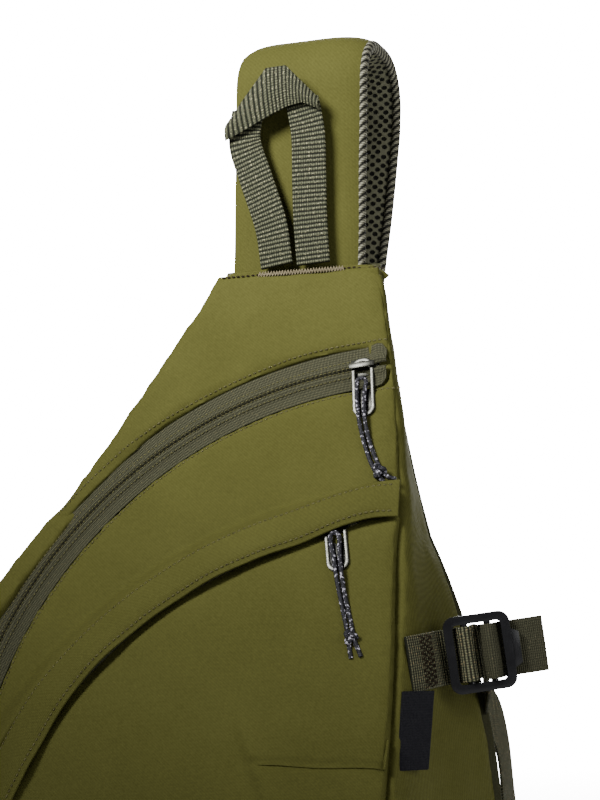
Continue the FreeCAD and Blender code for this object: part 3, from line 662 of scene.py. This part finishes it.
inMain = faceOut("main") * -1
pads = {
    "upperPanelPad": ("upper_front_panel", olive, lambda f: f.normal.dot(inMain) > 0.9, 8, 3, upperSwell, False),
    "mainPanelPad": ("main_front_panel", olive, lambda f: f.normal.dot(inMain) > 0.9, 8, 3, mainSwell, False),
    "pocketPad": ("front_pocket_panel", olive, None, 0, 3, pocketSwell, True),
    "rightGussetPad": ("right_gusset", olive, lambda f: f.normal.x < -0.6, 10, 4, wallSwell, False),
    "leftGussetPad": ("left_gusset", olive, lambda f: f.normal.x > 0.5, 10, 4, wallSwell, False),
    "topPad": ("top_panel", olive, lambda f: f.normal.z < -0.6, 8, 3, None, False),
    "basePad": ("bottom_panel", olive, lambda f: f.normal.z > 0.7, 9, 4, None, False),
    "backPad": ("back_mesh", backMesh, lambda f: f.normal.y < -0.9, 6, 4, backSwell, False),
}
made = {}
for name, (source, material, inner, depth, voxel, shape, hull) in pads.items():
    made[name] = makePad(name, source, material, inner, depth, voxel, hull, shape)
    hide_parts(source)
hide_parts("back_foam")
print("panels padded")


lining = copyOf("back_lining", "backLiningSheet")
editAll(lining, lambda: bpy.ops.mesh.subdivide(number_cuts=2))
moveVertices(lining, lambda p: p + Vector((0, crumple(p, 60, 0.8, 11), 0)))
smoothed(lining, "backLiningSheet", liningCloth)
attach(lining, "bag")
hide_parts("back_lining")


# Where a seam or stitch lands on the padded panels

def landing(objs):
    faces, spots = [], []
    for obj in objs:
        start = len(spots)
        spots += [vertex.co.copy() for vertex in obj.data.vertices]
        faces += [[start + i for i in face.vertices] for face in obj.data.polygons]
    return BVHTree.FromPolygons(spots, faces)


front = landing([made[n] for n in ("upperPanelPad", "mainPanelPad", "pocketPad", "topPad")])


def onto(tree, point, direction, lift=0.2):  # in millimetres
    direction = Vector(direction).normalized()
    hit, normal, face, far = tree.ray_cast((Vector(point) - direction * 60) * mm, direction, 0.12)
    if hit is None:
        return Vector(point), -direction
    if normal.dot(direction) > 0:
        normal = -normal
    return hit / mm + normal * lift, normal


def stitchRow(name, material, line, outs, pitch=2.6, size=(1.9, 0.42, 0.3), ride=True):
    count = max(2, int(lineLength(line) / pitch))
    spots = evenly(line, count)
    places = []
    for step, spot in enumerate(spots):
        ahead = spots[min(step + 1, count - 1)] - spots[max(step - 1, 0)]
        out = along(outs, step / (count - 1)).normalized()
        ahead = (ahead - out * ahead.dot(out)).normalized()
        places.append(placed(ahead * size[0] / 2, out.cross(ahead) * size[1], out * size[2], spot))
    row = smoothed(repeated(threadBead(), places), name, material, 180)
    if ride:
        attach(row, "bag")
    return row


def dartShape(u, v):  # the sewn fold lies over the seam and casts its line
    x = dart["left"] + (dart["right"] - dart["left"]) * u
    up = dart["up"] + 13.0 * v
    spot, out = onto(front, onSlope("pocket", x, up + 0.4 * math.sin(u * 9)), -faceOut("pocket"), 0.0)
    ends = smoothStep(0, 0.12, u)
    return spot + faceOut("pocket") * ((0.9 * (1 - v) ** 2 * ends) - 0.5 * v - 0.5 * (1 - ends))


dartFold = shapedGrid("pocketDartFold", olive, (90, 10), dartShape, (1, 1), 0.8, 0.2, -1.0)
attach(dartFold, "bag")


def stitchedArc(name, material, plane, centre, radius, first, last, lift=0.15, **more):
    spots, outs = [], []
    for step in range(140):
        degrees = first + (last - first) * step / 139
        spot, out = onto(front, onArc(plane, centre, radius, degrees), -faceOut(plane), lift)
        spots.append(spot)
        outs.append(out)
    row = stitchRow(name, material, spots, outs, **more)
    return row


# Zips: two woven tapes that meet over the coil, with a row of stitches on each

zips = {
    "main_zip": {"plane": "main", "centre": zipCentre, "radius": zipRadius, "tape": 9.3, "first": 93.9,
                 "last": 196.0, "start": 97.0},
    "pocket_zip": {"plane": "pocket", "centre": flapCentre, "radius": pocketZipRadius, "tape": 5.6, "first": 98.0,
                   "last": 184.6, "start": 101.0},
}


def zipTape(prefix, side, facts):
    sign = 1 if side == "upper" else -1
    plane, centre, radius, tape = facts["plane"], facts["centre"], facts["radius"], facts["tape"]
    first, last = facts["first"], facts["last"]

    def shape(u, v):
        away = 0.25 + v * (tape + 0.6)
        bulge = 1.3 * math.exp(-((away - 2.2) / 2.0) ** 2) - 0.5 * math.exp(-(away / 0.6) ** 2)
        corner = math.sqrt(1 - (1 - min(1, u / 0.014)) ** 2)
        parting = 0.9 * (1 - smoothStep(0, 0.03, u)) if prefix == "main_zip" else 0
        away = away * (0.6 + 0.4 * corner) + parting
        raised = 2.6 * (1 - smoothStep(0.008, 0.03, u)) if prefix == "main_zip" else 0
        return onArc(plane, centre, radius + sign * away, first + (last - first) * u, -1.9 + bulge + raised)
    length = math.radians(last - first) * radius
    piece = shapedGrid(f"{prefix}_{side}_tape_cloth", zipCloth, (180, 14), shape, (length, tape), 0.5)
    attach(piece, "bag")
    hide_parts(f"{prefix}_{side}_tape")
    for number, away in enumerate((0.9, 3.9)):
        spots = [onArc(plane, centre, radius + sign * away, first + 1 + (last - first - 1.5) * step / 200,
                       -1.35 + 1.3 * math.exp(-((away - 2.2) / 2.0) ** 2)) for step in range(201)]
        row = stitchRow(f"{prefix}_{side}_tape_stitches_{number}", stitchThread, spots, [faceOut(plane)] * 2,
                        2.2, (1.6, 0.3, 0.2))


def zipCoil(prefix, side, facts):  # a flat helix of nylon under the tape's edge
    sign = 1 if side == "upper" else -1
    centre, plane, radius = facts["centre"], facts["plane"], facts["radius"]
    first, last = facts["first"] + 0.6, facts["last"] - 0.6
    count = int(math.radians(last - first) * radius / 1.5)
    bpy.ops.mesh.primitive_cube_add(size=1)
    tooth = bpy.context.active_object
    out = faceOut(plane)
    places = []
    for step in range(count):
        degrees = first + (last - first) * step / (count - 1)
        spot = onArc(plane, centre, radius + sign * 1.5, degrees, -3.2)
        radial = (onArc(plane, centre, radius + 10, degrees) - onArc(plane, centre, radius, degrees)).normalized()
        places.append(placed(radial.cross(out) * 0.85, radial * 2.2, out * 1.3, spot))
    piece = smoothed(repeated(tooth, places, 0.25), f"{prefix}_{side}_coil_turns", coilPlastic)
    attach(piece, "bag")
    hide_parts(f"{prefix}_{side}_coil")


for prefix, facts in zips.items():
    for side in ("upper", "lower"):
        zipTape(prefix, side, facts)
        zipCoil(prefix, side, facts)


def softened(source, name, material, width, body, segments=2):
    piece = copyOf(source, name)
    editAll(piece, lambda: bpy.ops.mesh.dissolve_limited(angle_limit=math.radians(3)))
    finish(piece, "BEVEL", width=width * mm, segments=segments, limit_method="ANGLE", angle_limit=math.radians(35),
           use_clamp_overlap=True)
    editAll(piece, lambda: bpy.ops.mesh.quads_convert_to_tris())
    smoothed(piece, name, material, 40)
    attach(piece, body)
    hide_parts(source)
    return piece


for prefix, body in (("main_zip", "main"), ("pocket_zip", "pocket")):
    softened(f"{prefix}_slider", f"{prefix}_slider_cast", gunmetal, 0.35, f"{body}_slider")
    softened(f"{prefix}_puller", f"{prefix}_puller_cast", gunmetal, 0.3, f"{body}_pull")
    softened(f"{prefix}_stops", f"{prefix}_stop_clips", gunmetal, 0.2, "bag")
print("zips made")


# Storm flap: rises from its seam and stands off over the pocket's zip

def flapEdgeAt(degrees):
    return 194.0 + 6.5 * (1 - smoothStep(93, 108, degrees)) - 5.0 * smoothStep(140, 158, degrees)


def flapSeamAt(degrees):
    return 213.0 + 5.0 * (1 - smoothStep(93, 108, degrees)) - 4.0 * smoothStep(145, 160, degrees)


def flapShape(u, v):
    degrees = 92.5 + (189.5 - 92.5) * u
    radius = flapSeamAt(degrees) + 0.5 + (flapEdgeAt(degrees) - flapSeamAt(degrees) - 0.5) * v
    lift = 2.2 + 2.9 * smoothStep(0, 0.7, v) - 1.6 * smoothStep(0.75, 1.0, v)
    lift += 0.45 * math.sin(u * 31) * v + 0.3 * math.sin(u * 67 + 2) * v
    lift += 1.1 * smoothStep(0.45, 0.8, u) * v - 2.6 * (1 - smoothStep(0, 0.16, v))
    return onArc("pocket", flapCentre, radius, degrees, 0.4 + (lift - 0.4) * smoothStep(-0.01, 0.05, u))


flapLength = math.radians(95) * flapSeam
flap = shapedGrid("stormFlapCloth", oliveStrap, (220, 18), flapShape, (flapLength, 15), 1.5, 0.5)
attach(flap, "bag")
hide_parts("storm_flap", "pocket_top_wall")
flapTop = landing([flap])
for name, radiusAt, inset in (("flapEdgeStitches", flapEdgeAt, 2.6), ("flapSeamStitches", flapSeamAt, -2.0)):
    spots, outs = [], []
    for step in range(200):
        degrees = 93.6 + 95.6 * step / 199
        over = onArc("pocket", flapCentre, radiusAt(degrees) + inset, degrees)
        spot, out = onto(flapTop, over, -faceOut("pocket"), 0.1)
        spots.append(spot)
        outs.append(out)
    stitchRow(name, stitchThread, spots, outs, 2.6)
stitchedArc("zipUpperTopstitch", stitchThread, "main", zipCentre, zipRadius + 12.6, 94.2, 194)
stitchedArc("zipLowerTopstitch", stitchThread, "main", zipCentre, zipRadius - 12.4, 92.2, 188)
print("flap made")


# Shoulder strap: cover and spacer mesh, one run up, over and down behind the bag

def arcThrough(centre, radius, first, last, count=10):
    return [Vector((28, centre[0] + radius * math.cos(math.radians(first + (last - first) * i / (count - 1))),
                    centre[1] + radius * math.sin(math.radians(first + (last - first) * i / (count - 1)))))
            for i in range(count)]


strap = {"half": 33.0, "aside": -2.4, "thick": 11.0, "foot": 362.0, "end": 112.0, "narrow": 15.5, "taper": 42.0}
strapLine = evenly([Vector((28, 45.6, strap["foot"])), Vector((28, 46, 372)), Vector((28, 48.2, 424))]
                   + arcThrough((70.6, 454.0), 22.0, 176, 90)
                   + arcThrough((83.5, 454.0), 22.0, 90, -13)
                   + flow([(28, 104.5, 441), (28, 92, 400), (28, 78.5, 365), (28, 71, 335), (28, 67.4, 300),
                           (28, 66.5, 262), (28, 66.5, 200), (28, 66.5, 150), (28, 66.5, strap["end"])], 60), 150)
strapLength = lineLength(strapLine)


def strapFrame(u):
    ahead = (along(strapLine, min(1, u + 0.012)) - along(strapLine, max(0, u - 0.012))).normalized()
    return along(strapLine, u), Vector((0, -ahead.z, ahead.y))


def strapWidth(u):
    left = (1 - u) * strapLength
    return strap["half"] + (strap["narrow"] - strap["half"]) * (1 - smoothStep(0, strap["taper"], left))


def strapAside(u):
    return strap["aside"] * (1 - smoothStep(0.6, 0.85, u))


def strapSurface(sign, high, low, edge):
    def shape(u, v):
        centre, out = strapFrame(u)
        across = (v - 0.5) * 2
        crown = 1 - abs(across) ** 5
        lift = low + (high - low) * crown
        lift += 0.5 * noise.noise(Vector((u * 14, across * 1.2, sign * 4)))
        return centre + Vector((across * (strapWidth(u) - edge) + strapAside(u), 0, 0)) + out * (sign * lift)
    return shape


coverCloth = shapedGrid("strapCoverCloth", oliveStrap, (200, 28), strapSurface(1, 5.0, 0.6, 0.4),
                        (strapLength, 62), 1.2)
meshLining = shapedGrid("strapMeshLining", strapMesh, (200, 28), strapSurface(-1, 4.8, 0.4, 1.2),
                        (strapLength, 62), 1.2)
binding = []
for side in (-1, 1):
    def rim(u, v, side=side):
        centre, out = strapFrame(u)
        turn = v * 2 * math.pi
        thick = 2.1 if side > 0 else 1.2
        across = side * (strapWidth(u) - (1.4 if side > 0 else 1.9)) + strapAside(u) + thick * math.cos(turn)
        return centre + Vector((across, 0, 0)) + out * (1.43 * thick * math.sin(turn) - 0.6)
    edge = shapedGrid("strapBinding" + ("Left" if side < 0 else "Right"), bindingCloth, (260, 12), rim,
                      (strapLength, 12))
    editAll(edge, lambda: bpy.ops.mesh.remove_doubles(threshold=0.00001))
    binding.append(outwards(edge))
for piece, slotName in ((coverCloth, "olive_nylon"), (meshLining, "air_mesh"), (binding[0], "webbing"),
                        (binding[1], "webbing")):
    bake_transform(piece)
for run in ("front", "bend", "rear"):
    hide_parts(f"strap_{run}_cover", f"strap_{run}_foam")
    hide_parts(f"strap_{run}_mesh")
print("strap made")


# Grab handle: two legs of webbing and a flat fold at the top

handle = {
    "y": 35.7, "wide": 16.6, "thick": 1.7,
    "foldTop": ((-7.2, 434), (2.5, 446), (14, 459.6), (24, 460), (32.5, 451), (40, 443)),
    "foldFoot": ((-7.8, 427), (5, 432), (16, 437), (25, 440.5), (32.5, 442), (40.4, 438.6)),
}


def handleLeg(name, spots, depth, twist):
    line = flow([(x, handle["y"] + depth, z) for x, z in spots], 40)

    def side(u):
        ahead = (along(line, min(1, u + 0.03)) - along(line, max(0, u - 0.03))).normalized()
        return ahead.cross(Vector((0, 1, 0))).normalized() * -1
    piece = band(name, handleCloth, line, side, lambda u: Vector((0, -1, 0)), handle["wide"],
                 lambda u, v: 0.8 * math.sin(u * 5 + v) + twist * (v - 0.5), handle["thick"], (60, 10), 0.5)
    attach(piece, "handle")
    return piece


leftLeg = handleLeg("handleLeftLeg", [(18.5, 365), (15.5, 385), (7.5, 408), (1.5, 426), (3, 441)], 0.2, 0.8)
handleLeg("handleRightLeg", [(37.2, 365), (35.6, 388), (34.8, 410), (34, 428), (31, 444)], -0.2, -0.8)
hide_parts("grab_handle")


def foldShape(u, v):
    upper = along([Vector((x, 0, z)) for x, z in handle["foldTop"]], u)
    lower = along([Vector((x, 0, z)) for x, z in handle["foldFoot"]], u)
    spot = lower.lerp(upper, v)
    swell = math.sin(math.pi * min(1, max(0, v))) * 1.2 + 1.4 * math.sin(math.pi * u)
    return Vector((spot.x, handle["y"] - 1.4 - swell, spot.z))


topFold = shapedGrid("handleTopFold", handleCloth, (40, 18), foldShape, (52, 20), 1.7, 0.5)
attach(topFold, "handle")


def tackBar(name, left, right, deep):  # dense satin stitches side by side
    out, places = Vector((0, -1, 0.2)).normalized(), []
    for step, spot in enumerate(evenly([Vector(left), Vector(right)], 60)):
        ahead = Vector((0.35 if step % 2 else -0.35, 0, -1)).normalized()
        places.append(placed(ahead * deep / 2, out.cross(ahead) * 0.45, out * 0.5, spot))
    bar = smoothed(repeated(threadBead(), places), name, paleThread, 180)
    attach(bar, "bag")


def topAt(x, z):
    return onto(front, (x, 20, z), (0, 1, 0), 0.6)[0]


tackBar("handleBarTack", topAt(9.5, 361.0), topAt(51.5, 361.9), 3.4)
spots = [topAt(-9 + 77 * i / 30, 360.6 + 1.7 * i / 30) for i in range(31)]
topRow = stitchRow("topSeamStitches", brownThread, spots, [Vector((0, -1, 0.3))] * 2, 2.4, (2.0, 0.5, 0.35))
print("handle made")


# Ladder lock, its stub and tail, the blank label

lockTurn = Matrix(((0.9294, -0.1389, 0.3420), (0.3383, -0.0506, -0.9397), (0.1478, 0.9890, 0.0)))
lockAt = Vector((112.3, 8.9, 179.5))
webWidth = 25


def inLock(x, y, z):
    return lockAt + lockTurn @ Vector((x, y, z))


lockSide, lockOut = lockTurn @ Vector((0, 1, 0)), lockTurn @ Vector((0, 0, 1))
softened("ladder_lock", "ladderLockMoulding", blackPlastic, 0.7, "lock", 3)


def lockBand(name, material, spots, thick):
    line = flow([inLock(x, 0, z) for x, z in spots], 70)

    def out(u):
        ahead = (along(line, min(1, u + 0.02)) - along(line, max(0, u - 0.02))).normalized()
        return lockSide.cross(ahead).normalized() * -1
    piece = band(name, material, line, lambda u: lockSide, out, webWidth,
                 lambda u, v: 0.3 * math.sin(math.pi * v) + 0.2 * math.sin(u * 19 + v * 2), thick, (90, 12), 0.45)
    return piece


stubPath = [(-20.6, 18.4), (-13, 10.2), (-6.2, -1.0), (-2, -3.2), (3.5, -3.3), (8.6, -3.0), (10.4, -0.2),
            (8.6, 2.6), (6.0, 2.5), (4.3, 0.2), (3.4, -1.7)]
stub = lockBand("sideStubWebbing", webbingCloth, stubPath, 1.5)
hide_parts("side_stub")
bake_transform(stub)

tailPath = [(14.0, -3.4), (16.5, -2.9), (15.1, 0.4), (17.6, 3.1), (20.6, 1.2), (22.2, -2.2), (26, -3.1), (34, -3.0),
            (38, -3.2), (43.0, -4.0)]
tail = lockBand("webbingTailBand", tailCloth, tailPath, 1.3)
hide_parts("webbing_tail")
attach(tail, "lock")

stubTop = landing([stub])
for number, centre in enumerate((-12.5, -9.5)):
    spots, outs = [], []
    for step in range(19):
        over = inLock(centre + (1.3 if step % 2 else -1.3), -11.5 + 23 * step / 18, 10)
        spot, out = onto(stubTop, over, -lockOut, 0.2)
        spots.append(spot)
        outs.append(out)
    zigzag = stitchRow(f"stubTack{number}", brownThread, spots, outs, 1.6, (1.9, 0.4, 0.3), ride=False)
    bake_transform(zigzag)


def labelShape(u, v):
    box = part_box("side_label")
    low, high = Vector(box[0]) / mm, Vector(box[1]) / mm
    x = low.x - 0.5 + (high.x - low.x - 1.0) * u
    y = -26.5 + (12.0 + 1.0) * u + (v - 0.5) * 9.5
    bend = 1.2 * u * u + 0.5 * math.sin(u * 4 + v * 2)
    return Vector((x, y - bend, low.z + 0.5 + (high.z - low.z - 1) * v))


label = shapedGrid("blankSideLabel", labelCloth, (24, 40), labelShape, (12.5, 35), 0.9, 0.3)
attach(label, "bag")
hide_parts("side_label")


# Adjusting webbing: under the lock, down the right edge, round a slack loop, up to the strap

webStations = [((*inLock(10, 0, -7.2),), lockSide), ((*inLock(14, 0, -9.0),), lockSide),
               ((121, 38, 173), Vector((0, 0.75, 0.66))), ((114.5, 60, 158), Vector((0, 0.95, 0.3))),
               ((117.5, 73, 146), Vector((0, 1, 0))), ((119.5, 76, 132), Vector((0, 1, 0))),
               ((122.3, 76.5, 105), Vector((0, 1, 0))), ((124, 76, 62), Vector((0, 1, 0))),
               ((112, 76, 27), Vector((0, 1, 0))), ((77, 76, 13), Vector((0, 1, 0))),
               ((44, 74, 27), Vector((0, 1, 0))), ((29, 70, 62), Vector((0.7, 0.7, 0))),
               ((28, 66.5, 111.4), Vector((1, 0, 0))), ((28, 66.5, 122), Vector((1, 0, 0)))]
webLine = flow([spot for spot, side in webStations], 200)
webSides = flow([side * 10 for spot, side in webStations], 200)


def webOut(u):
    ahead = (along(webLine, min(1, u + 0.01)) - along(webLine, max(0, u - 0.01))).normalized()
    return ahead.cross(along(webSides, u)).normalized()


adjuster = band("adjustingWebbing", webbingCloth, webLine, lambda u: along(webSides, u).normalized(), webOut,
                webWidth, lambda u, v: 0.25 * math.sin(u * 60), 1.4, (220, 10), 0.45)
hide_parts("strap_webbing")
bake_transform(adjuster)
print("webbing made")
